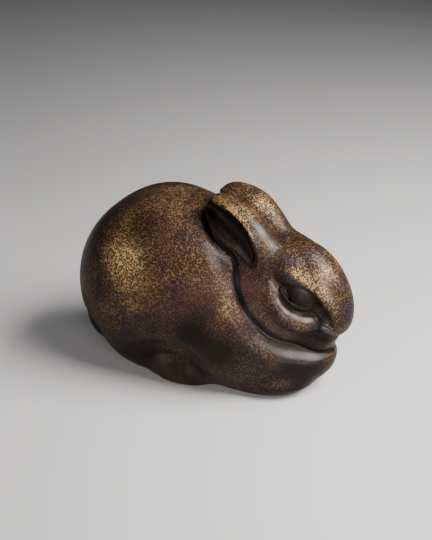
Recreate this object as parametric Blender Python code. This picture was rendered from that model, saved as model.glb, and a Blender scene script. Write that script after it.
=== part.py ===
"""Crouching rabbit, one casting: ears laid back, head sunk on the chest, feet tucked under.

Lengths below are in millimetres of the full-size figure and are multiplied by UNIT.
X runs from tail to nose, Z up, and the figure is the same on both sides of Y = 0.
"""
import bmesh
import bpy
import numpy as np

LENGTH = 0.1253                     # metres, tail to nose
FIGURE = 125.3                      # the same length in the figure's own millimetres
UNIT = LENGTH / FIGURE              # metres to one millimetre of the figure
MIDDLE = 0.4                        # the figure's middle along X, moved to the origin
CELL = 0.8                          # spacing of the lattice the skin is drawn through
MARGIN = 3                          # cells left clear round the figure
BELOW = 6.0                         # how far under the table the lattice starts
TRIANGLES = 9800                    # of the finished skin, before the base is cut
SEAM = 0.6                          # eases the crease where the two sides of a mass meet
EAR_SEAM = 1.2
PRESSES = 3                         # times the skin is pressed onto the figure
PRESS_STEP = 0.3                    # the most that one press moves a point
BRONZE = (0.16, 0.095, 0.05, 1)


def turned(pitch, yaw):
    """Axes of a mass tipped nose-down by pitch and swung towards +Y by yaw, in degrees."""
    a, b = np.radians(pitch), np.radians(yaw)
    tip = np.array([[np.cos(a), 0, np.sin(a)], [0, 1, 0], [-np.sin(a), 0, np.cos(a)]])
    swing = np.array([[np.cos(b), -np.sin(b), 0], [np.sin(b), np.cos(b), 0], [0, 0, 1]])
    return (swing @ tip).astype(np.float32)


def egg(p, centre, radii, pitch=0.0, yaw=0.0):
    """Distance from each point to an ellipsoid."""
    q = p - np.array(centre, np.float32)
    if pitch or yaw:
        q = q @ turned(pitch, yaw)
    r = np.array(radii, np.float32)
    near = np.sqrt(((q / r) ** 2).sum(-1)) + 1e-6
    slope = np.sqrt(((q / (r * r)) ** 2).sum(-1)) + 1e-6
    return near * (near - 1.0) / slope


def curve(points, count):
    """A smooth line of count places through the points, each with its thickness last."""
    P = np.array(points, float)
    P = np.vstack([2 * P[0] - P[1], P, 2 * P[-1] - P[-2]])
    out = []
    for s in np.linspace(0, len(points) - 1, count):
        i = min(int(s), len(points) - 2)
        t = s - i
        a, b, c, d = P[i:i + 4]
        bend = (2 * a - 5 * b + 4 * c - d) * t * t + (3 * b - a - 3 * c + d) * t ** 3
        out.append(0.5 * (2 * b + (c - a) * t + bend))
    return np.array(out, np.float32)


def tube(p, points, count=22, reach=8.0):
    """Distance to a round tube along the points; places farther off than reach only get a bound."""
    line = curve(points, count)
    widest = line[:, 3].max() + reach
    low, high = line[:, :3].min(0) - widest, line[:, :3].max(0) + widest
    flat = p.reshape(-1, 3)
    d = np.full(len(flat), reach, np.float32)
    inside = np.all((flat > low) & (flat < high), axis=1)
    q = flat[inside]
    best = np.full(len(q), 1e3, np.float32)
    for a, b in zip(line[:-1], line[1:]):
        ab = b[:3] - a[:3]
        t = np.clip((q - a[:3]) @ ab / (ab @ ab), 0, 1)
        gap = np.sqrt((((q - a[:3]) - t[:, None] * ab) ** 2).sum(-1)) - (a[3] + (b[3] - a[3]) * t)
        best = np.minimum(best, gap)
    d[inside] = np.minimum(best, reach)
    return d.reshape(p.shape[:-1])


def join(a, b, soft):
    """Union with a fillet of reach soft."""
    h = np.clip(soft - np.abs(a - b), 0, None) / soft
    return np.minimum(a, b) - h * h * soft * 0.25


def carve(a, b, soft):
    """Takes b out of a, the edge eased over soft."""
    return -join(-a, b, soft)


def folded(p, ease=0.0):
    """Both sides laid on the +Y side; ease rounds the seam on the middle plane."""
    q = p.copy()
    q[..., 1] = np.sqrt(p[..., 1] ** 2 + ease)
    return q


# body: masses are ellipsoids, grooves are tubes of (x, y, z, radius), SOFT is each one's fillet
TRUNK = dict(centre=(-21.2, 0, 36.9), radii=(40.5, 33, 40.5))
HAUNCH = dict(centre=(-22.9, 12.5, 37.1), radii=(32.8, 22, 37), pitch=-1.4)
NECK = dict(centre=(-1.9, 6, 41), radii=(30.8, 24, 26.5))
SHOULDER = dict(centre=(8.2, 13.3, 22.8), radii=(31.5, 18.8, 22.8), pitch=-3.3)
CHEST = dict(centre=(29.9, 0, 17.3), radii=(26.2, 18.9, 18), pitch=4.3)
ELBOW = dict(centre=(29, 11.4, 5.2), radii=(17.2, 11.2, 5.6), pitch=-2.1)
COLLAR = [(8, 20, 69, 1.8), (12, 22, 64.6, 3.0), (17, 23.8, 58.5, 4.3), (22, 25.5, 49.5, 4.0),
          (27.3, 26.4, 41, 4.0), (33, 25.4, 34, 4.5), (39, 22, 29.2, 5), (45, 17.3, 26, 5.3),
          (51.5, 11, 23.6, 4.5), (56, 4, 22.2, 3)]
CREASE = [(20.4, 21.4, 49.2, 0.5), (22.6, 21.5, 46.3, 1.1), (26, 21.7, 42.4, 1.6), (28.6, 21.4, 38.8, 1.7),
          (31, 20.5, 34.8, 1.8), (34.1, 18.9, 31.6, 1.8), (37.9, 16.9, 29.4, 1.8), (43, 13, 26.6, 1.8),
          (47, 10.2, 24.8, 1.6), (51.8, 6, 21.7, 1.4), (55, 0, 21.2, 1.2)]
FLANK = [(-30, 31, 5, 1.5), (-21, 33.5, 12.5, 2.7), (-10, 35, 17.5, 3.6), (0, 35, 16.5, 3.5),
         (8, 33.5, 11, 2.6), (12, 31.5, 5, 1.2)]

# head
SKULL = dict(centre=(32.8, 0, 41.3), radii=(23.1, 16.1, 13.6), pitch=51.9)
FOREHEAD = dict(centre=(48.1, 0, 47), radii=(21.8, 11.8, 12.1), pitch=60.8)
CHEEK = dict(centre=(27.3, 9.2, 43.1), radii=(21.9, 13.3, 18.9), pitch=39)
MUZZLE = dict(centre=(45.8, 0, 30.4), radii=(14, 11.2, 8.5), pitch=63.5)
CROWN = dict(centre=(34.5, 0, 56), radii=(9, 11, 8), pitch=40)
BROW = [(29.5, 20, 58.4, 0.8), (33, 19.2, 56.8, 1.8), (37.5, 17.9, 54, 2.4), (43, 16, 51.4, 2.6),
        (47.8, 14.4, 48, 2.7), (51, 12.9, 44.2, 2.7), (53.7, 11.3, 40.2, 2.6), (56, 9.8, 35.8, 2),
        (57.5, 8.4, 32.8, 1.2)]
SOCKET = dict(centre=(44.3, 17.2, 46.8), radii=(9.2, 3.4, 5), pitch=34, yaw=-26)
EYE = dict(centre=(44, 12.6, 47), radii=(6.3, 3.8, 4.5), pitch=34, yaw=-26)
EYE_BAND = [(33.5, 17.8, 55, 1.6), (35.2, 18.2, 51, 2.2), (38.2, 18.5, 47, 2.5), (42.2, 17.2, 42.8, 2.7),
            (46.7, 14, 39.8, 2.5), (50.2, 11.3, 40, 1.6)]
LIP = [(48, 13.8, 31.9, 0.8), (51, 11.5, 30.8, 1.9), (54.2, 9.2, 29, 2.4), (57, 6.4, 27.2, 2.2),
       (59, 3.4, 26, 1.7), (59.6, 0, 25.6, 1.5)]
NOSTRIL = [(51.6, 10.4, 35.8, 0.8), (53, 10, 34.7, 1.1), (55.1, 8.5, 33.1, 1.2), (57.3, 6.3, 31.2, 0.9)]

# ears
EAR = [(35.8, 6.8, 55.4, 7.8), (27.5, 7.3, 60.6, 7.2), (21, 7.9, 68.8, 7.2), (14.5, 8.1, 74.7, 7.4),
       (6.8, 6.8, 78.4, 6.2), (2, 3.8, 81, 1.8)]
EAR_REACH = 12
EAR_WALL = [(2, 8, 75.5, 2.2), (7, 12, 71.6, 3.2), (12.5, 12.6, 68.6, 4.2), (17.5, 12.5, 66.6, 4.4),
            (22.5, 12.6, 62.2, 4.2), (27, 13, 57, 3.5)]
EAR_VALLEY = [(34, 0, 57, 5), (27.5, 0, 62.5, 4.6), (21, 0, 69.6, 4.4), (14.5, 0, 75, 4.2), (8, 0, 78, 3.6),
              (3, 0, 79.5, 2)]
EAR_ROOT = [(0, 1.5, 74, 3), (9, 7, 71, 4.5), (16, 9, 66.5, 5.5), (24, 9, 59, 7)]
EAR_HOLLOW = [(2, 9.5, 79, 2.0), (4.6, 11.4, 78, 2.9), (9.5, 14.6, 76, 4.6), (14.5, 16.7, 73.4, 5.4),
              (18.6, 17.3, 70.2, 4.6), (22.2, 17.2, 65.6, 3.2), (24.6, 17, 61.4, 1.5)]

# feet and tail
FOOT = dict(centre=(-7, 22.2, 6.8), radii=(14.5, 8.8, 7.8))
TOES = [(-1.5, 31.5, 12.5, 0.8), (-0.2, 31, 8, 1.0), (0.5, 30, 3, 1.2)]
TAIL = dict(centre=(-51.6, 0, 11), radii=(10, 9, 12.3), pitch=-32)


SOFT = dict(haunch=9, neck=12, shoulder=12, chest=9, elbow=8, collar=4, crease=2, flank=6,
            forehead=8, cheek=6, muzzle=6, crown=6, brow=2, socket=1.5, eye=1.2, eye_band=2.5, lip=1.8,
            nostril=1.5, ear_wall=5, ear_valley=2.5, ear_root=3, ear_hollow=1.4, ears=6, head=2,
            toes=0.8, foot=1.2, tail=2.5)


def body(p):
    side, half = folded(p, SEAM), folded(p)
    d = egg(p, **TRUNK)
    d = join(d, egg(side, **HAUNCH), SOFT["haunch"])
    d = join(d, egg(side, **NECK), SOFT["neck"])
    d = join(d, egg(side, **SHOULDER), SOFT["shoulder"])
    d = join(d, egg(p, **CHEST), SOFT["chest"])
    d = join(d, egg(side, **ELBOW), SOFT["elbow"])
    d = carve(d, tube(half, COLLAR), SOFT["collar"])
    d = carve(d, tube(half, CREASE), SOFT["crease"])
    return carve(d, tube(half, FLANK), SOFT["flank"])


def head(p):
    side, half = folded(p, SEAM), folded(p)
    d = egg(p, **SKULL)
    d = join(d, egg(p, **FOREHEAD), SOFT["forehead"])
    d = join(d, egg(side, **CHEEK), SOFT["cheek"])
    d = join(d, egg(p, **MUZZLE), SOFT["muzzle"])
    d = join(d, egg(p, **CROWN), SOFT["crown"])
    d = carve(d, tube(half, BROW), SOFT["brow"])
    d = carve(d, egg(half, **SOCKET), SOFT["socket"])
    d = join(d, egg(half, **EYE), SOFT["eye"])
    d = join(d, tube(half, EYE_BAND), SOFT["eye_band"])
    d = carve(d, tube(half, LIP), SOFT["lip"])
    return join(d, tube(half, NOSTRIL), SOFT["nostril"])


def ears(p):
    side, half = folded(p, EAR_SEAM), folded(p)
    d = join(tube(side, EAR, reach=EAR_REACH), tube(half, EAR_WALL), SOFT["ear_wall"])
    d = join(d, tube(p, EAR_VALLEY), SOFT["ear_valley"])
    d = join(d, tube(side, EAR_ROOT), SOFT["ear_root"])
    return carve(d, tube(half, EAR_HOLLOW), SOFT["ear_hollow"])


def figure(p):
    """Distance to the whole casting, before its underside is cut flat."""
    half = folded(p)
    d = join(body(p), join(head(p), ears(p), SOFT["ears"]), SOFT["head"])
    foot = carve(egg(half, **FOOT), tube(half, TOES), SOFT["toes"])
    return join(join(d, foot, SOFT["foot"]), egg(p, **TAIL), SOFT["tail"])


def lattice(cell):
    """Coordinates along X, Y and Z that take in every mass, with the table inside them."""
    masses = (TRUNK, HAUNCH, NECK, SHOULDER, CHEST, ELBOW, SKULL, FOREHEAD, CHEEK, MUZZLE, CROWN, FOOT, TAIL)
    balls = [(*m["centre"], max(m["radii"])) for m in masses] + EAR + EAR_WALL + EAR_VALLEY + EAR_ROOT
    balls = np.array(balls)
    low = (balls[:, :3] - balls[:, 3:]).min(0)
    high = (balls[:, :3] + balls[:, 3:]).max(0)
    width = (balls[:, 1] + balls[:, 3]).max()
    low[1], high[1], low[2] = -width, width, -BELOW
    first = np.floor(low / cell).astype(int) - MARGIN
    last = np.ceil(high / cell).astype(int) + MARGIN
    return [cell * np.arange(a, b + 1, dtype=np.float32) for a, b in zip(first, last)]


def skin(cell):
    """Vertices and quads of the figure's surface on a lattice of the given cell."""
    axes = lattice(cell)
    values = np.empty([len(a) for a in axes], np.float32)
    for i, x in enumerate(axes[0]):
        sheet = np.stack(np.meshgrid(x, axes[1], axes[2], indexing="ij"), -1)[0]
        values[i] = figure(sheet)
    for k in range(3):
        values = (np.roll(values, 1, k) + 2 * values + np.roll(values, -1, k)) / 4
    inner = (slice(1, -1),) * 3
    closed = np.full(values.shape, cell, np.float32)    # the skin closes where the lattice ends
    closed[inner] = values[inner]
    values = closed
    solid = values < 0
    total = np.zeros([n - 1 for n in values.shape] + [3], np.float32)
    count = np.zeros(total.shape[:3], np.float32)
    crossings = []
    for k in range(3):
        a = [slice(None)] * 3
        b = [slice(None)] * 3
        a[k], b[k] = slice(0, -1), slice(1, None)
        va, vb = values[tuple(a)], values[tuple(b)]
        cross = solid[tuple(a)] != solid[tuple(b)]
        at = np.argwhere(cross)
        place = at.astype(np.float32)
        place[:, k] += va[cross] / (va[cross] - vb[cross])
        i, j = (k + 1) % 3, (k + 2) % 3
        for di in (0, -1):
            for dj in (0, -1):
                box = at.copy()
                box[:, i] += di
                box[:, j] += dj
                np.add.at(total, tuple(box.T), place)
                np.add.at(count, tuple(box.T), 1)
        crossings.append((k, at, solid[tuple(a)][cross]))
    used = count > 0
    number = np.full(count.shape, -1)
    number[used] = np.arange(used.sum())
    points = total[used] / count[used][:, None] * cell + np.array([a[0] for a in axes])
    quads = []
    for k, at, out in crossings:
        i, j = (k + 1) % 3, (k + 2) % 3
        ring = []
        for di, dj in ((-1, -1), (0, -1), (0, 0), (-1, 0)):
            box = at.copy()
            box[:, i] += di
            box[:, j] += dj
            ring.append(number[tuple(box.T)])
        ring = np.stack(ring, 1)
        quads.append(np.where(out[:, None], ring, ring[:, ::-1]))
    return settle(points), np.concatenate(quads)


def settle(points):
    """Presses points onto the figure's surface."""
    e = 0.05
    ways = e * np.eye(3, dtype=np.float32)
    for _ in range(PRESSES):
        d = figure(points)
        slope = np.stack([figure(points + w) - figure(points - w) for w in ways], -1) / (2 * e)
        step = slope * (d / np.maximum((slope ** 2).sum(-1), 0.3))[:, None]
        points = points - np.clip(step, -PRESS_STEP, PRESS_STEP)
    return points.astype(np.float32)


def drop_pockets(bm):
    """Keeps the outer skin alone: hollows shut in under the belly are filled."""
    left, islands = set(bm.verts), []
    while left:
        island, edge = set(), [left.pop()]
        while edge:
            v = edge.pop()
            island.add(v)
            for e in v.link_edges:
                w = e.other_vert(v)
                if w in left:
                    left.remove(w)
                    edge.append(w)
        islands.append(island)
    islands.sort(key=len)
    print("pockets filled", [len(i) for i in islands[:-1]])
    for island in islands[:-1]:
        bmesh.ops.delete(bm, geom=list(island), context="VERTS")


def cut_base(mesh):
    """Cuts the underside flat at Z = 0 and closes it."""
    bm = bmesh.new()
    bm.from_mesh(mesh)
    everything = bm.verts[:] + bm.edges[:] + bm.faces[:]
    bmesh.ops.bisect_plane(bm, geom=everything, dist=0.0001 * UNIT, plane_co=(0, 0, 0), plane_no=(0, 0, 1),
                           clear_inner=True)
    rim = [e for e in bm.edges if e.is_boundary]
    bmesh.ops.holes_fill(bm, edges=rim, sides=0)
    drop_pockets(bm)
    bmesh.ops.recalc_face_normals(bm, faces=bm.faces[:])
    bmesh.ops.triangulate(bm, faces=bm.faces[:])
    bm.to_mesh(mesh)
    bm.free()
    return mesh


def bronze():
    metal = bpy.data.materials.new("bronze")
    metal.use_nodes = True
    shader = metal.node_tree.nodes["Principled BSDF"]
    shader.inputs["Base Color"].default_value = BRONZE
    shader.inputs["Metallic"].default_value = 1.0
    shader.inputs["Roughness"].default_value = 0.42
    metal.diffuse_color = BRONZE
    return metal


def main():
    for thing in list(bpy.data.objects):
        bpy.data.objects.remove(thing)
    home = bpy.data.collections.new("rabbit_sculpture")
    bpy.context.scene.collection.children.link(home)

    points, quads = skin(CELL)
    points[:, 0] -= MIDDLE
    fine = bpy.data.meshes.new("rabbit_fine")
    fine.from_pydata((points * UNIT).tolist(), [], quads.tolist())
    rabbit = bpy.data.objects.new("rabbit", fine)
    home.objects.link(rabbit)
    thin = rabbit.modifiers.new("thin", "DECIMATE")
    thin.ratio = TRIANGLES / (2 * len(quads))
    thin.use_symmetry = True
    thin.symmetry_axis = "Y"
    bpy.context.view_layer.update()
    thinned = rabbit.evaluated_get(bpy.context.evaluated_depsgraph_get())
    mesh = bpy.data.meshes.new_from_object(thinned)
    rabbit.modifiers.clear()
    rabbit.data = cut_base(mesh)
    mesh.name = "rabbit"
    mesh.materials.append(bronze())
    print("triangles", len(mesh.polygons))


main()
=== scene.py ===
# Crouching bronze rabbit: the carved skin, its rubbed patina and a plain studio
import bpy
import numpy as np
from math import cos, radians, sin
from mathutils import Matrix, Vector


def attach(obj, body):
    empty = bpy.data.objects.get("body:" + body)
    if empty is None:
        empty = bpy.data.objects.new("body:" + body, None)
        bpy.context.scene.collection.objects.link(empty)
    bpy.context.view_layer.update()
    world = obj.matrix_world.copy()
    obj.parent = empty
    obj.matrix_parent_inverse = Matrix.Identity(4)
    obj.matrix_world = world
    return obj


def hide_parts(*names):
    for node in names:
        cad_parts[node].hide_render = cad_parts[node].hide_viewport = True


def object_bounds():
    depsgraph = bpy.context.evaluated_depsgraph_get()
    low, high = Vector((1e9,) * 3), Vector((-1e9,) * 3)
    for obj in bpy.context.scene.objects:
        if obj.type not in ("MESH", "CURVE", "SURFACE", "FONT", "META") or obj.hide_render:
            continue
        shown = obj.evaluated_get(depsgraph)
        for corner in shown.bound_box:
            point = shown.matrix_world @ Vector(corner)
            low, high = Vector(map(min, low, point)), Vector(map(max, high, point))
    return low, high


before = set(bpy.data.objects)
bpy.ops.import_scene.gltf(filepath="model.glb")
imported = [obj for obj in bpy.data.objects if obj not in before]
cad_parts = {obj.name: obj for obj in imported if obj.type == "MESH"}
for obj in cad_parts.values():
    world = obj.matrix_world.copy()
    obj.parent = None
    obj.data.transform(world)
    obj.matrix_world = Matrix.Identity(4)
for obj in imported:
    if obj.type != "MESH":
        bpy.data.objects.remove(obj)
cadLow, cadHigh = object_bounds()
print("frame loaded, CAD box", [round(v * 1000, 1) for v in cadHigh - cadLow], "mm")

# The figure is carved in its own millimetres: X to the nose, Z up, alike on both sides of Y = 0
figure = {
    "length": 125.39,      # tail to nose
    "middle": 0.4,         # moved to X = 0
    "cell": 0.5,           # lattice that the skin is drawn through
    "quickCell": 0.9,
    "triangles": 190000,
    "low": (-66, -38, -4),
    "high": (66, 38, 88),
    "seatGap": 0.02,       # the underside is cut this far above the surface below
}
metresPerUnit = (cadHigh.x - cadLow.x) / figure["length"]


# Distance fields

def turnMatrix(tip, swing):
    a, b = radians(tip), radians(swing)
    noseDown = np.array([[cos(a), 0, sin(a)], [0, 1, 0], [-sin(a), 0, cos(a)]])
    sideways = np.array([[cos(b), -sin(b), 0], [sin(b), cos(b), 0], [0, 0, 1]])
    return (sideways @ noseDown).astype(np.float32)


def eggField(p, at, size, tip=0.0, swing=0.0):
    q = (p - np.array(at, np.float32)) @ turnMatrix(tip, swing)
    r = np.array(size, np.float32)
    near = np.sqrt(((q / r) ** 2).sum(-1)) + 1e-6
    slope = np.sqrt(((q / (r * r)) ** 2).sum(-1)) + 1e-6
    return near * (near - 1) / slope


def smoothLine(points, count):
    # Catmull-Rom through the points; the fourth number of each is the tube's radius there
    knots = np.array(points, float)
    knots = np.vstack([2 * knots[0] - knots[1], knots, 2 * knots[-1] - knots[-2]])
    line = []
    for s in np.linspace(0, len(points) - 1, count):
        i = min(int(s), len(points) - 2)
        t = s - i
        a, b, c, d = knots[i:i + 4]
        bend = (2 * a - 5 * b + 4 * c - d) * t * t + (3 * b - a - 3 * c + d) * t ** 3
        line.append(0.5 * (2 * b + (c - a) * t + bend))
    return np.array(line, np.float32)


def tubeField(p, points, count=48, reach=8.0):
    line = smoothLine(points, count)
    widest = line[:, 3].max() + reach
    low, high = line[:, :3].min(0) - widest, line[:, :3].max(0) + widest
    inside = np.all((p > low) & (p < high), axis=1)
    q = p[inside]
    best = np.full(len(q), reach, np.float32)
    for a, b in zip(line[:-1], line[1:]):
        ab = b[:3] - a[:3]
        t = np.clip((q - a[:3]) @ ab / (ab @ ab), 0, 1)
        gap = np.sqrt((((q - a[:3]) - t[:, None] * ab) ** 2).sum(-1)) - (a[3] + (b[3] - a[3]) * t)
        best = np.minimum(best, gap)
    d = np.full(len(p), reach, np.float32)
    d[inside] = best
    return d


def ring(at, facing, across, thick, count=14):
    # points of a tube laid in a ring round a middle that faces one way
    facing = np.array(facing, float) / np.linalg.norm(facing)
    side = np.cross(facing, (0, 0, 1))
    side /= np.linalg.norm(side)
    up = np.cross(side, facing)
    turns = np.linspace(0, 2 * np.pi, count)
    return [tuple(np.array(at) + across * (cos(t) * side + sin(t) * up)) + (thick,) for t in turns]


def joined(a, b, blend):
    h = np.clip(blend - np.abs(a - b), 0, None) / blend
    return np.minimum(a, b) - h * h * blend * 0.25


def carved(a, b, blend):
    return -joined(-a, b, blend)


def folded(p, ease=0.0):
    # both sides laid on the +Y side; ease rounds the seam on the middle plane
    q = p.copy()
    q[:, 1] = np.sqrt(p[:, 1] ** 2 + ease)
    return q


def shaped(p, steps):
    # runs a list of (kind, values) from the first mass on
    views = {"one": p, "both": folded(p, 0.6), "each": folded(p)}
    d = None
    for kind, values in steps:
        values = dict(values)
        how, q = values.pop("how", "add"), views[values.pop("side", "one")]
        blend = values.pop("blend", 1.0)
        f = eggField(q, **values) if kind == "egg" else tubeField(q, **values)
        d = f if d is None else joined(d, f, blend) if how == "add" else carved(d, f, blend)
    return d


bodySteps = [
    # trunk
    ("egg", dict(at=(-21.2, 0, 36.9), size=(40.5, 33, 40.5))),
    # haunch
    ("egg", dict(at=(-22.9, 12.5, 37.1), size=(32.8, 22, 37), tip=-1.4, side="both", blend=9)),
    # neck
    ("egg", dict(at=(-1.9, 6, 41), size=(30.8, 24, 26.5), side="both", blend=12)),
    # shoulder
    ("egg", dict(at=(8.2, 13.3, 22.8), size=(31.5, 18.8, 22.8), tip=-3.3, side="both", blend=12)),
    # chest
    ("egg", dict(at=(29.9, 0, 17.3), size=(26.2, 18.9, 18), tip=4.3, blend=9)),
    # elbow
    ("egg", dict(at=(29, 11.4, 5.2), size=(17.2, 11.2, 5.6), tip=-2.1, side="both", blend=8)),
    # the shelf of the collar round the head
    ("tube", dict(points=[(8, 20, 69, 1.8), (12, 22, 64.6, 3), (17, 23.8, 58.5, 4.3), (22, 25.5, 49.5, 4),
                          (27.3, 26.4, 41, 4), (33, 25.4, 34, 4.5), (39, 22, 29.2, 5), (45, 17.3, 26, 5.3),
                          (51.5, 11, 23.6, 4.5), (56, 4, 22.2, 3)], how="cut", side="each", blend=4)),
    # the crease where the cheek sinks into the collar
    ("tube", dict(points=[(20.4, 21.4, 49.2, 0.5), (22.6, 21.5, 46.3, 1.1), (26, 21.7, 42.4, 1.6),
                          (28.6, 21.4, 38.8, 1.7), (31, 20.5, 34.8, 1.8), (34.1, 18.9, 31.6, 1.8),
                          (37.9, 16.9, 29.4, 1.8), (43, 13, 26.6, 1.8), (47, 10.2, 24.8, 1.6),
                          (51.8, 6, 21.7, 1.4), (55, 0, 21.2, 1.2)], how="cut", side="each", blend=1.2)),
    # the groove that the ear lies in
    ("tube", dict(points=[(-3.2, 1.5, 75.5, 1.3), (0, 8, 73.8, 1.6), (3.5, 13, 71, 1.8),
                          (7.5, 16.2, 68.2, 1.9), (12, 17.6, 64.6, 1.8), (16.5, 17.8, 61.2, 1.6),
                          (20.5, 18, 57, 1.2)], how="cut", side="each", blend=1.8)),
    # the flank hollowed over the foot
    ("tube", dict(points=[(-32, 31, 7, 2.2), (-23, 33.2, 14.5, 3.6), (-11, 34.4, 19, 4.6),
                          (0, 34, 17.5, 4.4), (8, 33, 11.5, 3), (12, 31.5, 5, 1.2)], how="cut",
                  side="each", blend=6)),
    # the rump drawn in beside the tail
    ("tube", dict(points=[(-60, 15, 19, 3.4), (-53, 26, 15, 5.6), (-44, 32, 9, 6.1), (-34, 36, 2, 4)],
                  how="cut", side="each", blend=8)),
]

headSteps = [
    # skull
    ("egg", dict(at=(32.8, 0, 41.3), size=(23.1, 16.1, 13.6), tip=51.9)),
    # forehead and nose
    ("egg", dict(at=(48.1, 0, 47), size=(21.8, 11.8, 12.1), tip=60.8, blend=8)),
    # cheek
    ("egg", dict(at=(27.3, 9.2, 43.1), size=(21.9, 13.3, 18.9), tip=39, side="both", blend=6)),
    # muzzle
    ("egg", dict(at=(45.8, 0, 30.4), size=(14, 11.2, 8.5), tip=63.5, blend=6)),
    # crown
    ("egg", dict(at=(34.5, 0, 56), size=(9, 11, 8), tip=40, blend=6)),
    # the brow's shadow line, from ear to nose
    ("tube", dict(points=[(29.5, 20, 58.4, 0.8), (33, 19.2, 56.8, 1.8), (37.5, 17.9, 54, 2.4),
                          (43, 16, 51.4, 2.6), (47.8, 14.4, 48, 2.7), (51, 12.9, 44.2, 2.7),
                          (53.7, 11.3, 40.2, 2.6), (56, 9.8, 35.8, 2), (57.5, 8.4, 32.8, 1.2)], how="cut",
                  side="each", blend=1.4)),
    # the band round the socket
    ("tube", dict(points=[(32.2, 18, 54.2, 1.9), (33.4, 18.9, 49.2, 3), (36.3, 19.4, 44.5, 3.6),
                          (40.4, 18.6, 40.3, 3.9), (45, 15.7, 37, 3.8), (49.6, 12.2, 36.2, 2.8)],
                  side="each", blend=2)),
    # socket
    ("egg", dict(at=(44.5, 18, 47.9), size=(8.8, 3.6, 4.4), tip=34, swing=-26, how="cut", side="each",
                 blend=1)),
    # eyeball
    ("egg", dict(at=(44.4, 12.5, 47.2), size=(6.6, 3.5, 4.6), tip=34, swing=-26, side="each", blend=0.5)),
    # iris
    ("tube", dict(points=ring((45.2, 15.5, 48.6), (0.43, 0.86, 0.26), 2.5, 0.2), how="cut", side="each",
                  blend=0.3)),
    # lower lid
    ("tube", dict(points=[(37.6, 17.9, 52.3, 0.5), (39.2, 18, 49.6, 0.65), (41.4, 17.5, 47, 0.7),
                          (44.2, 16.3, 44.8, 0.7), (47, 14.4, 43.5, 0.65), (49.4, 12.6, 44, 0.4)],
                  side="each", blend=0.8)),
    # the lip turned in under the nose
    ("tube", dict(points=[(48, 13.8, 31.9, 0.8), (51, 11.5, 30.8, 1.9), (54.2, 9.2, 29, 2.4),
                          (57, 6.4, 27.2, 2.2), (59, 3.4, 26, 1.7), (59.6, 0, 25.6, 1.5)], how="cut",
                  side="each", blend=1.2)),
    # nostril's edge
    ("tube", dict(points=[(51.4, 10.6, 35.2, 0.8), (53.1, 10.1, 33.9, 1.3), (55.3, 8.5, 32.4, 1.4),
                          (57.4, 6.4, 30.8, 0.9)], side="each", blend=0.8)),
    # wrinkle before the eye
    ("tube", dict(points=[(50.2, 12.1, 40.6, 0.6), (51.2, 11.5, 38.8, 0.8), (52, 10.8, 37.2, 0.6)],
                  side="each", blend=1)),
]

earHollow = [(2, 9.5, 79, 2), (4.6, 11.4, 78, 2.9), (9.5, 14.6, 76, 4.6), (14.5, 16.7, 73.4, 5.4),
             (18.6, 17.3, 70.2, 4.6), (22.2, 17.2, 65.6, 3.2), (24.6, 17, 61.4, 1.5)]
earSteps = [
    # the ear, from the brow to its tip
    ("tube", dict(points=[(35.8, 6.8, 55.4, 7.8), (27.5, 7.3, 60.6, 7.2), (21, 7.9, 68.8, 7.2),
                          (14.5, 8.1, 74.7, 7.4), (6.8, 6.8, 78.4, 6.2), (2, 3.8, 81, 1.8)], side="both",
                  reach=12)),
    # the wall outside its hollow
    ("tube", dict(points=[(2, 8, 75.5, 2.2), (7, 12, 71.6, 3.2), (12.5, 12.6, 68.6, 4.2),
                          (17.5, 12.5, 66.6, 4.4), (22.5, 12.6, 62.2, 4.2), (27, 13, 57, 3.5)],
                  side="each", blend=5)),
    # its root, let into the body
    ("tube", dict(points=[(0, 1.5, 74, 3), (9, 7, 71, 4.5), (16, 9, 66.5, 5.5), (24, 9, 59, 7)],
                  side="both", blend=3)),
    # the valley between both ears
    ("tube", dict(points=[(34, 0, 57, 5), (27.5, 0, 62.5, 4.6), (21, 0, 69.6, 4.4), (14.5, 0, 75, 4.2),
                          (8, 0, 78, 3.6), (3, 0, 79.5, 2)], blend=2.5)),
    # the hollow
    ("tube", dict(points=earHollow, how="cut", side="each", blend=0.6)),
]

footSteps = [("egg", dict(at=(-7, 20.4, 7.4), size=(15, 7.2, 9.6), side="each"))]
footCuts = [
    # the arc over the foot, then the clefts between its toes
    [(-22, 29.4, 11.5, 0.5), (-17, 30.6, 15.2, 1), (-12, 31.3, 17, 1.2), (-7.3, 31.5, 17.8, 1.3),
     (-2.4, 31.5, 17.4, 1.3), (2.2, 31, 15.4, 1.2), (6.4, 29.8, 11.4, 1), (8.6, 28.4, 6, 0.6)],
    [(-2.6, 30.4, 14.6, 0.4), (-1, 30.4, 10.5, 0.7), (0.3, 29.4, 5, 0.9)],
    [(3, 29.8, 12.6, 0.4), (4.2, 29.2, 9, 0.6), (5.2, 28.2, 4, 0.8)],
]

tail = dict(at=(-52.5, 0, 11.4), size=(10, 9.8, 12.8), tip=-32)
blends = {"headOnBody": 1.0, "earsOnHead": 6.0, "foot": 4.0, "footCuts": 1.4, "tail": 1.2}


def figureField(p):
    head = joined(shaped(p, headSteps), shaped(p, earSteps), blends["earsOnHead"])
    d = joined(shaped(p, bodySteps), head, blends["headOnBody"])
    d = joined(d, shaped(p, footSteps), blends["foot"])
    for points in footCuts:
        d = carved(d, tubeField(folded(p), points), blends["footCuts"])
    return joined(d, eggField(p, **tail), blends["tail"])


# Skin

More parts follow.
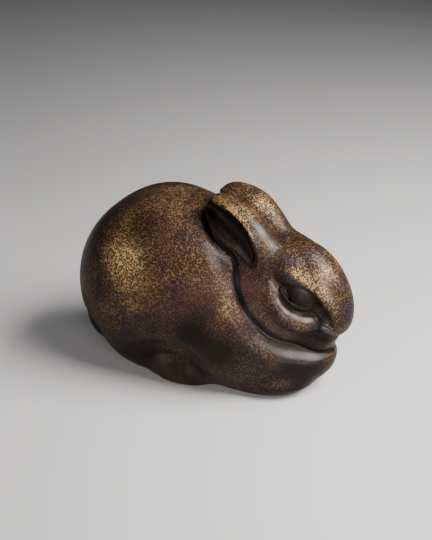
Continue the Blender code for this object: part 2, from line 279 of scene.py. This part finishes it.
def latticeValues(axes, band=3.0, skip=4):
    # a coarse pass finds where the surface runs, and the fine one is worked out only there
    coarse = [a[::skip] for a in axes]
    grid = np.stack(np.meshgrid(*coarse, indexing="ij"), -1).reshape(-1, 3)
    values = figureField(grid.astype(np.float32)).reshape([len(a) for a in coarse])
    for k, a in enumerate(axes):
        nearest = np.minimum((np.arange(len(a)) + skip // 2) // skip, len(coarse[k]) - 1)
        values = np.take(values, nearest, axis=k)
    for i, x in enumerate(axes[0]):
        j, k = np.nonzero(np.abs(values[i]) < band)
        if len(j):
            p = np.stack([np.full(len(j), x), axes[1][j], axes[2][k]], 1).astype(np.float32)
            values[i, j, k] = figureField(p)
    return values


def cellsAround(at, k):
    # the four cells that share a lattice edge, which starts at a point and runs along axis k
    i, j = (k + 1) % 3, (k + 2) % 3
    for di, dj in ((-1, -1), (0, -1), (0, 0), (-1, 0)):
        cell = at.copy()
        cell[:, i] += di
        cell[:, j] += dj
        yield tuple(cell.T)


def latticeSkin(values, axes):
    # one vertex in each cell that the surface crosses, one quad over each edge that it cuts
    solid = values < 0
    total = np.zeros([n - 1 for n in values.shape] + [3], np.float32)
    count = np.zeros(total.shape[:3], np.float32)
    cuts = []
    for k in range(3):
        a, b = [slice(None)] * 3, [slice(None)] * 3
        a[k], b[k] = slice(0, -1), slice(1, None)
        va, vb = values[tuple(a)], values[tuple(b)]
        cut = solid[tuple(a)] != solid[tuple(b)]
        at = np.argwhere(cut)
        place = at.astype(np.float32)
        place[:, k] += va[cut] / (va[cut] - vb[cut])
        cuts.append((k, at, solid[tuple(a)][cut]))
        for cell in cellsAround(at, k):
            np.add.at(total, cell, place)
            np.add.at(count, cell, 1)
    used = count > 0
    number = np.full(count.shape, -1)
    number[used] = np.arange(used.sum())
    steps = np.array([a[1] - a[0] for a in axes])
    points = total[used] / count[used][:, None] * steps + np.array([a[0] for a in axes])
    quads = []
    for k, at, fromInside in cuts:
        corners = np.stack([number[cell] for cell in cellsAround(at, k)], 1)
        quads.append(np.where(fromInside[:, None], corners, corners[:, ::-1]))
    return points.astype(np.float32), np.concatenate(quads)


def fieldSlope(p, step=0.06):
    ways = np.array([(1, -1, -1), (-1, -1, 1), (-1, 1, -1), (1, 1, 1)], np.float32)
    return sum(w * figureField(p + w * step)[:, None] for w in ways) / (4 * step)


def settled(p, longest=0.25, leastSlope=0.3):
    # moves each point along the slope, onto the surface
    slope = fieldSlope(p)
    move = slope * (figureField(p) / np.maximum((slope ** 2).sum(-1), leastSlope))[:, None]
    return (p - np.clip(move, -longest, longest)).astype(np.float32)


def largestIsland(quads, count):
    # the outer skin alone: hollows shut in between head and body are left out
    label = np.arange(count)
    while True:
        low = label[quads].min(1)
        new = label.copy()
        np.minimum.at(new, quads.ravel(), np.repeat(low, 4))
        new = new[new]
        if (new == label).all():
            break
        label = new
    names, sizes = np.unique(label[quads[:, 0]], return_counts=True)
    return quads[label[quads[:, 0]] == names[sizes.argmax()]]


def carveSkin():
    cell = figure["cell"]
    axes = [np.arange(a, b + cell, cell, dtype=np.float32) for a, b in zip(figure["low"], figure["high"])]
    floorHeight = figure["seatGap"]
    values = np.maximum(latticeValues(axes), floorHeight - axes[2])
    points, quads = latticeSkin(values, axes)
    quads = largestIsland(quads, len(points))
    used, quads = np.unique(quads, return_inverse=True)
    points, quads = points[used], quads.reshape(-1, 4)
    free = points[:, 2] > floorHeight + cell
    points[free] = settled(points[free])
    points[:, 2] = np.maximum(points[:, 2], floorHeight)
    mesh = bpy.data.meshes.new("rabbit_skin")
    mesh.from_pydata(points.tolist(), [], quads.tolist())
    return mesh


print("carving the skin")
rabbit = bpy.data.objects.new("rabbit_skin", carveSkin())
bpy.context.scene.collection.objects.link(rabbit)
share = figure["triangles"] / (2 * len(rabbit.data.polygons))
if share < 1:
    rabbit.modifiers.new("thin", "DECIMATE").ratio = share
    bpy.context.view_layer.update()
    thinned = rabbit.evaluated_get(bpy.context.evaluated_depsgraph_get())
    thinned = bpy.data.meshes.new_from_object(thinned)
    rabbit.modifiers.clear()
    rabbit.data = thinned
skinMesh = rabbit.data
print("skin of", len(skinMesh.polygons), "faces")

# Where hands have rubbed the patina, where it is darker, and where shade is painted in, held at each
# vertex
wearAndShade = {
    # centre, reach, strength, in the figure's millimetres, on both sides
    "rubbed": [((-27, 31.5, 57), 11, 0.65), ((-15.6, 7.5, 77), 12, 0.25), ((-36, 27, 62), 9, 0.3),
               ((18.5, 28, 41), 7, 0.3), ((26, 27, 31), 7, 0.1), ((7, 31, 47), 8, 0.2),
               ((33.4, 14.3, 62.5), 3, 0.2), ((38.5, 13.8, 60.6), 3.5, 0.4), ((42.7, 13, 57.9), 3.5, 0.6),
               ((46.3, 11.8, 54.4), 3.5, 0.6), ((49.7, 11.3, 51.2), 3.5, 0.5),
               ((53.2, 10.8, 47.6), 4, 0.4), ((57, 9, 42), 5, 0.5), ((52, 6, 58), 6, 0.45),
               ((9, 10, 84), 6, 0.35), ((20, 6, 81), 8, 0.45), ((12, 19, 74), 3, 0.6),
               ((-12, 28, 6), 4, 0.2), ((-34, 32, 38), 11, 0.25), ((-18, 35, 36), 9, 0.15)],
    # the ear's worn front edge
    "rim": [(3, 8.5, 83.6, 0.5), (7, 10, 83.8, 0.7), (12.9, 12.6, 81.6, 0.8), (18.6, 14, 77.3, 0.8),
            (22.5, 14.4, 70.6, 0.7), (25.5, 15.3, 64.6, 0.4)],
    "reddened": [((6, 31, 46), 11, 0.9), ((-13, 36, 40), 11, 0.5), ((23, 28, 34), 8, 0.5),
                 ((25, 21, 51), 8, 0.9), ((32, 22, 38), 7, 0.6), ((-10, 22, 70), 9, 0.4)],
    # darker patina in a few places, as on the crown; most of these patches are painted shade: under the
    # brow, round the mouth and jaw, low on the flank and chest and over the feet
    "darkPatinaAndShade": [((4, 34, 33), 9, 0.9), ((17, 32, 25), 9, 0.8), ((46, 15, 12), 13, 0.7),
                 ((-30, 33, 14), 12, 0.4), ((-22, 22, 72), 7, 0.5), ((-44, 28, 44), 10, 0.5),
                 ((51, 12, 33.5), 3, 0.9), ((28, 18, 61), 5, 0.5), ((47, 16, 32), 4.4, 0.6),
                 ((55, 8, 28), 4, 0.9), ((-18, 31, 20), 6, 0.5), ((34, 14, 61.5), 5, 0.6),
                 ((8, 31, 44), 7, 0.35), ((10, 21, 60), 7, 0.3), ((-14, 35.6, 30), 9, 0.3),
                 ((24, 28, 34), 6, 0.2), ((-4, 30, 12), 6, 0.5), ((-20, 31, 10), 6, 0.5),
                 ((60, 3, 42), 6, 0.3), ((36, 17.5, 57), 3, 0.8), ((39, 16.4, 55), 2.6, 0.9),
                 ((42, 15.1, 54), 2.6, 0.9), ((45, 13.8, 51.7), 2.6, 0.9), ((48, 13.2, 48.9), 2.6, 0.9),
                 ((51, 12, 45), 2.8, 0.9), ((53.5, 11, 41), 3, 0.9), ((54, 10.6, 37.5), 2.2, 0.9),
                 ((50, 12, 30), 6, 0.7)],
    "polished": [((5, 14.6, 67), 7, 0.3), ((10, 19, 59.5), 5, 0.25), ((17, 20.5, 51), 4, 0.4),
                 ((26, 23, 41), 4, 0.5), ((32, 21, 31), 5, 0.8), ((39.7, 17, 23), 7, 1.0),
                 ((48.6, 10.6, 19), 6, 0.8), ((26, 10.8, 73), 5, 0.9), ((30, 8, 69), 4, 0.6),
                 ((34.5, 19.8, 54.7), 2.6, 1.0), ((37.8, 20.9, 49), 2.6, 1.0),
                 ((41.2, 20.5, 44.9), 2.6, 1.0), ((45, 18.7, 41.2), 2.6, 1.0),
                 ((49, 15.4, 39.5), 2.6, 1.0), ((54, 10.6, 34.5), 2.4, 1.0), ((56.4, 8.8, 32.6), 2.4, 1.0),
                 ((49.7, 7.6, 59.2), 4.5, 0.4), ((53.4, 7.7, 55.4), 4.5, 0.45),
                 ((56.2, 7.6, 51.4), 4.5, 0.45), ((58.1, 7.6, 47.1), 3.5, 0.4),
                 ((-10.5, 30.5, 13), 3.5, 0.9), ((0.6, 29.4, 10.4), 2, 0.9), ((-50, 14, 60), 14, 0.4)],
    "socket": dict(at=(45.5, 15.5, 47.5), size=(9.5, 3.5, 5.5), tip=34, swing=-26),
    "lowShadeLine": 42.0,                    # painted shade darkens the figure from this height down
    "lowShadeFade": 28.0,
    "lowShadeStrength": 0.5,
    "upturned": (2.2, 0.85),            # low down, what faces up gets less of the painted shade: gain and limit
    "earShade": (1.4, 1.2),              # how far the painted shade runs past the ear's hollow, its strength
    "socketShade": (1.3, 0.9, 1.8),      # painted shade past the socket, how softly it ends, and the gain of the hollow
    "rimStrength": 0.9,
    "normalReach": 0.3,                 # evens out the facets of the tubes
    "seatEdge": 0.01,                   # up to this far above the cut, the underside faces straight down
    "seam": (1.1, 1.8),                 # painted shade along the creases where head and ears meet the body, and over the feet
    "footSeam": 0.5,
    "crevice": (0.7, 2.0, 5.0, 11.0),   # how far out each look for nearby metal goes, for the painted shade and the wear of crevices
}


def patchSum(p, patches):
    total = np.zeros(len(p), np.float32)
    for at, reach, strength in patches:
        away = ((p - np.array(at, np.float32)) ** 2).sum(-1) / reach ** 2
        total += strength * np.exp(-away)
    return np.clip(total, 0, 1)


def storeWearAndShade(mesh):
    p = np.empty(len(mesh.vertices) * 3, np.float32)
    mesh.vertices.foreach_get("co", p)
    p = p.reshape(-1, 3)
    slope = fieldSlope(p, wearAndShade["normalReach"])
    normal = slope / np.maximum(np.linalg.norm(slope, axis=1), 1e-6)[:, None]
    normal[p[:, 2] < figure["seatGap"] + wearAndShade["seatEdge"]] = (0, 0, -1)
    half = folded(p)

    # how near the next mass lies
    body, head, ears = (shaped(p, steps) for steps in (bodySteps, headSteps, earSteps))
    gap = np.maximum(body, np.minimum(head, ears))
    gap = np.minimum(gap, tubeField(half, footCuts[0]) + wearAndShade["footSeam"])
    # painted shade along the creases between the masses
    edge, width = wearAndShade["seam"]
    seam = np.clip(edge - gap / width, 0, 1)
    # painted shade in crevices: how much metal lies just outside the surface
    closeness = np.zeros(len(p), np.float32)
    for s in wearAndShade["crevice"]:
        closeness += np.clip(1 - figureField(p + normal * s) / s, 0, 1)

    # painted shade inside the ear's hollow
    edge, strength = wearAndShade["earShade"]
    earHollowShade = strength * np.clip(edge - tubeField(half, earHollow), 0, 1)
    # painted shade in the eye's socket, where metal lies close
    edge, width, gain = wearAndShade["socketShade"]
    socketHollowShade = np.clip(edge - eggField(half, **wearAndShade["socket"]) / width, 0, 1)
    socketHollowShade *= np.clip(gain * closeness, 0, 1)
    # painted shade low down, less on what faces up
    gain, limit = wearAndShade["upturned"]
    low = wearAndShade["lowShadeStrength"] * np.clip((wearAndShade["lowShadeLine"] - p[:, 2]) / wearAndShade["lowShadeFade"], 0, 1)
    low *= 1 - np.clip(gain * normal[:, 2], 0, limit)
    rim = wearAndShade["rimStrength"] * np.clip(1 - tubeField(half, wearAndShade["rim"]), 0, 1)
    masks = {
        "hollowShade": closeness / len(wearAndShade["crevice"]) + seam,
        "rubbed": patchSum(half, wearAndShade["rubbed"]) + rim,
        "reddened": patchSum(half, wearAndShade["reddened"]),
        "darkPatinaAndShade": patchSum(half, wearAndShade["darkPatinaAndShade"]) + earHollowShade + socketHollowShade + low - rim,
        "polished": patchSum(half, wearAndShade["polished"]),
    }
    for name, values in masks.items():
        held = np.clip(values, 0, 1).astype(np.float32)
        mesh.attributes.new(name, "FLOAT", "POINT").data.foreach_set("value", held)
    mesh.shade_smooth()
    mesh.normals_split_custom_set_from_vertices(normal.tolist())
    p[:, 0] -= figure["middle"]
    mesh.vertices.foreach_set("co", (p * metresPerUnit).ravel())
    mesh.update()


storeWearAndShade(skinMesh)
print("wear stored")


# Bronze

class NodeDesk:
    # adds nodes to one tree and joins them up
    def __init__(self, tree):
        self.tree = tree

    def put(self, kind, **settings):
        node = self.tree.nodes.new(kind)
        for name, value in settings.items():
            setattr(node, name, value)
        return node

    def feed(self, socket, source):
        if isinstance(source, (int, float, tuple)):
            socket.default_value = source
        else:
            self.tree.links.new(source, socket)

    def math(self, operation, a, b=0.0, clamp=False):
        node = self.put("ShaderNodeMath", operation=operation, use_clamp=clamp)
        self.feed(node.inputs[0], a)
        self.feed(node.inputs[1], b)
        return node.outputs[0]

    def ramp(self, value, low, high, outLow=0.0, outHigh=1.0):
        node = self.put("ShaderNodeMapRange", interpolation_type="SMOOTHSTEP")
        names = ("Value", "From Min", "From Max", "To Min", "To Max")
        for name, source in zip(names, (value, low, high, outLow, outHigh)):
            self.feed(node.inputs[name], source)
        return node.outputs["Result"]

    def more(self, base, value, share):
        return self.math("ADD", base, self.math("MULTIPLY", value, share))

    def between(self, factor, a, b):
        return self.more(a, self.math("SUBTRACT", b, a), factor)

    def mix(self, factor, a, b):
        # its colours A and B are sockets 6 and 7
        node = self.put("ShaderNodeMix", data_type="RGBA")
        self.feed(node.inputs["Factor"], factor)
        self.feed(node.inputs[6], a)
        self.feed(node.inputs[7], b)
        return node.outputs[2]

    def noise(self, vector, scale, detail, roughness):
        node = self.put("ShaderNodeTexNoise")
        self.feed(node.inputs["Vector"], vector)
        node.inputs["Scale"].default_value = scale
        node.inputs["Detail"].default_value = detail
        node.inputs["Roughness"].default_value = roughness
        return node.outputs["Fac"]

    def attribute(self, name):
        return self.put("ShaderNodeAttribute", attribute_name=name).outputs["Fac"]


bronze = {
    "night": (0.006, 0.004, 0.0035, 1),      # painted shade in crevices, creases, the ear, the socket and low down, and the darkest patina
    "umber": (0.120, 0.067, 0.034, 1),       # the patina, where little worn
    "plum": (0.064, 0.038, 0.037, 1),        # in clouds, and where it is polished
    "chestnut": (0.105, 0.050, 0.038, 1),    # where it has reddened
    "gold": (0.56, 0.35, 0.14, 1),           # rubbed metal
    "grainCells": 1450.0,                    # grain dots to the metre
    "grainPull": 0.0006,                     # how far the dots are pulled about, in metres
    "pullCells": 725.0,
    "pullDetail": 2.0,
    # scale, detail and roughness of each noise
    "noises": {
        "cloud": (55, 3, 0.6),
        "blotch": (170, 3, 0.6),
        "fleck": (800, 2, 0.5),
        "plum": (90, 2, 0.5),
    },
    # the middle of a noise and its share in the wear
    "wornBy": {"cloud": (0.42, 1.0), "blotch": (0.5, 0.9), "fleck": (0.5, 0.5)},
    "wornHollow": (0.3, 0.8, 0.0, 0.8),      # what a hollow takes off the wear, from and to
    "hollowShadeFrom": (0.35, 0.8),
    "nightDark": 0.92,
    "network": {"worn": 0.04, "middle": 0.6, "fleck": 0.25, "half": 0.18},
    "plumFrom": (0.4, 0.62),
    "goldFrom": (0.0, 1.1),
    "polishFrom": (0.45, 1.0),
    "polishPlum": 0.8,
    "pits": (0.17, -0.1),                    # brightness between the veins, and its change with wear
    "smoothing": (0.4, 0.75, 0.75),          # of reddened and of polished places, and the brightness there
    "metallic": (0.12, 0.2, 0.55),           # of the pits, more on the network, more where that is worn
    "roughness": (0.3, 0.7, 0.42, 0.54),
    "polishRoughness": -0.12,
    "specular": 0.08,
    "coat": (0.03, 0.9),
    "coatRoughness": 0.3,
    "relief": (0.8, 0.5),                    # share of the grain and of the fleck in the bump
    "bumpStrength": 0.6,
    "bumpDistance": 0.0002,
}


def grainCoordinates(desk, place):
    # pulls the lattice of dots about so that no two are alike
    warp = desk.put("ShaderNodeTexNoise")
    desk.feed(warp.inputs["Vector"], place)
    warp.inputs["Scale"].default_value = bronze["pullCells"]
    warp.inputs["Detail"].default_value = bronze["pullDetail"]
    centred = desk.put("ShaderNodeVectorMath", operation="SUBTRACT")
    desk.feed(centred.inputs[0], warp.outputs["Color"])
    centred.inputs[1].default_value = (0.5, 0.5, 0.5)
    pulled = desk.put("ShaderNodeVectorMath", operation="MULTIPLY_ADD")
    desk.feed(pulled.inputs[0], centred.outputs[0])
    pulled.inputs[1].default_value = (bronze["grainPull"],) * 3
    desk.feed(pulled.inputs[2], place)
    return pulled.outputs[0]


def bronzeMaterial():
    metal = bpy.data.materials.new("rubbed_bronze")
    metal.use_nodes = True
    tree = metal.node_tree
    shader = tree.nodes["Principled BSDF"]
    desk = NodeDesk(tree)
    place = desk.put("ShaderNodeTexCoord").outputs["Object"]
    names = ("hollowShade", "rubbed", "reddened", "darkPatinaAndShade", "polished")
    hollowShade, rubbed, reddened, darkPatinaAndShade, polished = (desk.attribute(name) for name in names)
    noises = {name: desk.noise(place, *values) for name, values in bronze["noises"].items()}
    fleck = noises["fleck"]
    cells = desk.put("ShaderNodeTexVoronoi", feature="F1")
    desk.feed(cells.inputs["Vector"], grainCoordinates(desk, place))
    cells.inputs["Scale"].default_value = bronze["grainCells"]
    grain = cells.outputs["Distance"]

    # how far the patina is worn through
    worn = rubbed
    for name, (middle, share) in bronze["wornBy"].items():
        worn = desk.more(worn, desk.math("SUBTRACT", noises[name], middle), share)
    worn = desk.math("SUBTRACT", worn, darkPatinaAndShade)
    worn = desk.math("SUBTRACT", worn, desk.ramp(hollowShade, *bronze["wornHollow"]), clamp=True)

    # the network of veins round the pits
    share = bronze["network"]
    network = desk.math("SUBTRACT", desk.more(grain, worn, share["worn"]), share["middle"])
    network = desk.more(network, desk.math("SUBTRACT", fleck, 0.5), share["fleck"])
    network = desk.ramp(network, -share["half"], share["half"])

    # colour
    smooth = desk.ramp(polished, *bronze["polishFrom"])
    vein = desk.mix(desk.ramp(noises["plum"], *bronze["plumFrom"]), bronze["umber"], bronze["plum"])
    vein = desk.mix(reddened, vein, bronze["chestnut"])
    vein = desk.mix(desk.ramp(worn, *bronze["goldFrom"]), vein, bronze["gold"])
    vein = desk.mix(desk.math("MULTIPLY", smooth, bronze["polishPlum"]), vein, bronze["plum"])
    pits, pitsWorn = bronze["pits"]
    ofReddened, ofPolished, evenShade = bronze["smoothing"]
    evened = desk.math("MAXIMUM", desk.math("MULTIPLY", reddened, ofReddened),
                       desk.math("MULTIPLY", smooth, ofPolished))
    shade = desk.between(network, desk.more(pits, worn, pitsWorn), 1.0)
    shade = desk.between(evened, shade, evenShade)
    shaded = desk.put("ShaderNodeVectorMath", operation="SCALE")
    desk.feed(shaded.inputs[0], vein)
    desk.feed(shaded.inputs["Scale"], shade)
    # painted shade: darker places, crevices and creases go towards the night colour
    night = desk.math("MULTIPLY", darkPatinaAndShade, bronze["nightDark"])
    colour = desk.mix(night, shaded.outputs[0], bronze["night"])
    colour = desk.mix(desk.ramp(hollowShade, *bronze["hollowShadeFrom"]), colour, bronze["night"])
    desk.feed(shader.inputs["Base Color"], colour)

    # metal, gloss and relief
    base, onNetwork, onWorn = bronze["metallic"]
    shine = desk.more(base, network, desk.more(onNetwork, worn, onWorn))
    desk.feed(shader.inputs["Metallic"], shine)
    rough = desk.ramp(noises["blotch"], *bronze["roughness"])
    desk.feed(shader.inputs["Roughness"], desk.more(rough, polished, bronze["polishRoughness"]))
    shader.inputs["Specular IOR Level"].default_value = bronze["specular"]
    bare, onPolished = bronze["coat"]
    coated = desk.math("MULTIPLY", polished, desk.math("SUBTRACT", 1.0, darkPatinaAndShade))
    desk.feed(shader.inputs["Coat Weight"], desk.more(bare, coated, onPolished))
    shader.inputs["Coat Roughness"].default_value = bronze["coatRoughness"]
    grainShare, fleckShare = bronze["relief"]
    height = desk.more(desk.math("MULTIPLY", grain, grainShare), fleck, fleckShare)
    bump = desk.put("ShaderNodeBump")
    bump.inputs["Strength"].default_value = bronze["bumpStrength"]
    bump.inputs["Distance"].default_value = bronze["bumpDistance"]
    desk.feed(bump.inputs["Height"], height)
    desk.feed(shader.inputs["Normal"], bump.outputs["Normal"])
    return metal


skinMesh.materials.clear()
skinMesh.materials.append(bronzeMaterial())
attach(rabbit, "root")
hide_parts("rabbit")
print("bronze laid on")

# Studio
studio = {
    # where the photograph was taken from
    "azimuth": 25.0, "elevation": 27.0, "lens": 100.0, "distance": 0.647,
    "aim": (-0.0004, 0.0, 0.045),
    "floor": (0.64, 0.64, 0.64, 1),
    "floorHalf": 6.0,
    "floorRoughness": 0.8,
    # place and aim as metres across, toward the camera and up; size, spread, watts, colour
    "lamps": {
        "key": ((0.38, 0.14, 0.41), (0.165, 0.065, 0.0), 0.42, 93.0, 3.15, (1.0, 0.97, 0.94)),
        "front": ((0.22, 0.62, 0.16), (0.03, 0.0, 0.04), 0.3, 50.0, 0.3, (1.0, 0.96, 0.96)),
        "side": ((-0.5, 0.3, 0.2), (0.0, 0.0, 0.05), 0.3, 60.0, 0.14, (1.0, 0.95, 0.9)),
    },
    "sky": (0.85, 0.9, 1.0, 1), "skyStrength": 0.05,
}


def studioAxes():
    a, e = radians(studio["azimuth"]), radians(studio["elevation"])
    across = Vector((cos(a), sin(a), 0))
    toCamera = Vector((sin(a), -cos(a), 0))
    back = toCamera * cos(e) + Vector((0, 0, 1)) * sin(e)
    return across, toCamera, back


def addCamera():
    _, _, back = studioAxes()
    data = bpy.data.cameras.new("camera")
    data.lens, data.sensor_width = studio["lens"], 36.0
    camera = bpy.data.objects.new("camera", data)
    camera.location = Vector(studio["aim"]) + back * studio["distance"]
    camera.rotation_mode = "QUATERNION"
    camera.rotation_quaternion = (-back).to_track_quat("-Z", "Y")
    bpy.context.scene.collection.objects.link(camera)
    bpy.context.scene.camera = camera


def addLamps():
    across, toCamera, _ = studioAxes()
    for name, (place, aim, size, spread, watts, tint) in studio["lamps"].items():
        data = bpy.data.lights.new(name, "AREA")
        data.shape, data.size, data.energy, data.color = "SQUARE", size, watts, tint
        data.spread = radians(spread)
        lamp = bpy.data.objects.new(name, data)
        at, target = (across * v[0] + toCamera * v[1] + Vector((0, 0, v[2])) for v in (place, aim))
        lamp.location = at
        lamp.rotation_mode = "QUATERNION"
        lamp.rotation_quaternion = (at - target).to_track_quat("Z", "Y")
        bpy.context.scene.collection.objects.link(lamp)
    world = bpy.data.worlds.new("studio")
    world.use_nodes = True
    background = world.node_tree.nodes["Background"]
    background.inputs["Color"].default_value = studio["sky"]
    background.inputs["Strength"].default_value = studio["skyStrength"]
    bpy.context.scene.world = world


def addFloor():
    half = studio["floorHalf"]
    mesh = bpy.data.meshes.new("floor")
    corners = [(-half, -half, 0), (half, -half, 0), (half, half, 0), (-half, half, 0)]
    mesh.from_pydata(corners, [], [(0, 1, 2, 3)])
    floor = bpy.data.objects.new("floor", mesh)
    bpy.context.scene.collection.objects.link(floor)
    paper = bpy.data.materials.new("floor_paper")
    paper.use_nodes = True
    shader = paper.node_tree.nodes["Principled BSDF"]
    shader.inputs["Base Color"].default_value = studio["floor"]
    shader.inputs["Roughness"].default_value = studio["floorRoughness"]
    mesh.materials.append(paper)


addCamera()
addLamps()
addFloor()
print("studio set")
